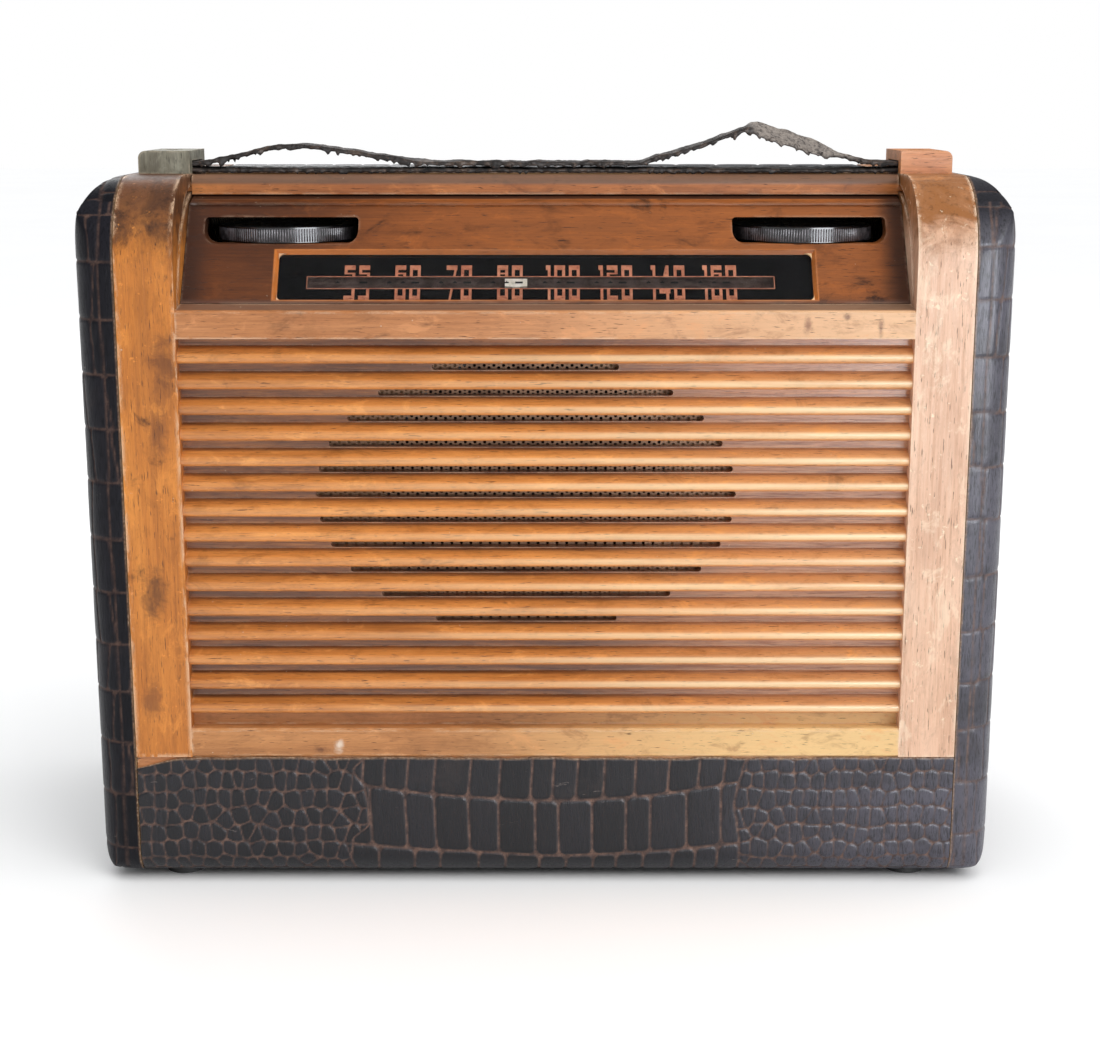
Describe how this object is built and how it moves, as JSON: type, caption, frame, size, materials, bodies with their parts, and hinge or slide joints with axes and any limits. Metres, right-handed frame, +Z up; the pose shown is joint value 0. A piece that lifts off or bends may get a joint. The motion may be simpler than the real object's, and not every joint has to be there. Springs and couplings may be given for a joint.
{
  "type": "portable radio",
  "caption": "Portable valve radio: embossed case, curved wooden stiles, louvred speaker front, sloping dial with thumbwheels, roll-top dial cover, strap handle and hinged back.",
  "frame": {"origin": "on the floor, below the middle of the case's bounding box", "axes": "+X to the right as seen from the front, +Y to the back, +Z up"},
  "size_m": [0.364, 0.156, 0.3035],
  "materials": {
    "plywood": "bare, rough sawn",
    "leatherette": "crocodile-embossed, worn, semi-gloss",
    "front_wood": "worn satin varnish",
    "panel_wood": "darkened varnish",
    "louvre_wood": "worn satin varnish, dark in the recesses",
    "tambour_wood": "satin varnish",
    "weathered_wood": "weathered, bare",
    "screen_metal": "dull",
    "steel": "dull plated",
    "cone_paper": "matte",
    "dial_glass": "clear over a dark ground",
    "dial_black": "matte black",
    "cord": "waxed",
    "pointer": "ivory",
    "tube_glass": "clear",
    "aluminium": "satin",
    "black_plastic": "polished, knurled rim",
    "battery_card": "printed card, matte",
    "canvas": "plain weave",
    "strap_leather": "cracked and worn",
    "rubber": "matte",
    "brass": "tarnished",
    "antenna_card": "wound with lacquered wire"
  },
  "bodies": {
    "cabinet": {"left_end_panel": "plywood", "right_end_panel": "plywood", "base_board": "plywood", "front_apron_board": "plywood", "rear_top_board": "plywood", "leatherette_left": "leatherette", "leatherette_right": "leatherette", "leatherette_apron": "leatherette", "leatherette_top": "leatherette", "left_stile": "front_wood", "right_stile": "front_wood", "cross_rail": "front_wood", "bottom_rail": "front_wood", "grille_slats_plain": "louvre_wood", "grille_slat_02": "louvre_wood", "grille_slat_03": "louvre_wood", "grille_slat_04": "louvre_wood", "grille_slat_05": "louvre_wood", "grille_slat_06": "louvre_wood", "grille_slat_07": "louvre_wood", "grille_slat_08": "louvre_wood", "grille_slat_09": "louvre_wood", "grille_slat_10": "louvre_wood", "grille_slat_11": "louvre_wood", "grille_slat_12": "louvre_wood", "perforated_screen": "screen_metal", "speaker_baffle": "plywood", "speaker_frame": "steel", "speaker_cone": "cone_paper", "output_transformer": "steel", "dial_panel": "panel_wood", "dial_glass": "dial_glass", "dial_pan": "dial_black", "dial_cord": "cord", "chassis_pan": "steel", "vacuum_tubes": "tube_glass", "shield_cans": "aluminium", "volume_control": "steel", "capacitor_frame": "steel", "battery_pack": "battery_card", "left_handle_block": "weathered_wood", "right_handle_block": "front_wood", "handle_screws": "brass", "strap_lower_layer": "strap_leather", "strap_upper_layer": "strap_leather", "feet": "rubber", "cabinet_door_hardware": "brass"},
    "tambour": {"tambour_bead": "front_wood", "tambour_slats": "tambour_wood", "tambour_canvas": "canvas"},
    "volume_thumbwheel": {"volume_wheel": "black_plastic"},
    "tuning_thumbwheel": {"tuning_wheel": "black_plastic"},
    "gang_rotor": {"capacitor_rotor": "aluminium"},
    "pointer": {"dial_pointer": "pointer"},
    "rear_door": {"back_door": "plywood", "leatherette_door": "leatherette", "door_hardware": "brass", "loop_antenna": "antenna_card", "cord_grommet": "rubber"}
  },
  "joints": [
    {"name": "tambour_roll", "type": "hinge", "parent": "cabinet", "child": "tambour", "pos_m": [0, -0.0222, 0.2316], "axis": [1, 0, 0], "range_deg": [0, 72.2]},
    {"name": "volume_turn", "type": "hinge", "parent": "cabinet", "child": "volume_thumbwheel", "pos_m": [-0.1047, -0.022, 0.2617], "axis": [0, 0, 1], "range_deg": [-150, 150]},
    {"name": "tuning_turn", "type": "hinge", "parent": "cabinet", "child": "tuning_thumbwheel", "pos_m": [0.1047, -0.022, 0.2617], "axis": [0, 0, 1], "range_deg": [-236.3, 304.3]},
    {"name": "gang_turn", "type": "hinge", "parent": "cabinet", "child": "gang_rotor", "pos_m": [0.062, -0.004, 0.22], "axis": [0, 0, 1], "range_deg": [-78.8, 101.5]},
    {"name": "pointer_slide", "type": "slide", "parent": "cabinet", "child": "pointer", "axis": [1, 0, 0], "range_m": [-0.0661, 0.0851]},
    {"name": "door_swing", "type": "hinge", "parent": "cabinet", "child": "rear_door", "pos_m": [0, 0.074, 0.0162], "axis": [-1, 0, 0], "range_deg": [0, 92]}
  ],
  "couplings": [
    {"joint": "gang_turn", "follows": "tuning_turn", "ratio": 0.33333},
    {"joint": "pointer_slide", "follows": "tuning_turn", "m_per_rad": 0.016}
  ]
}
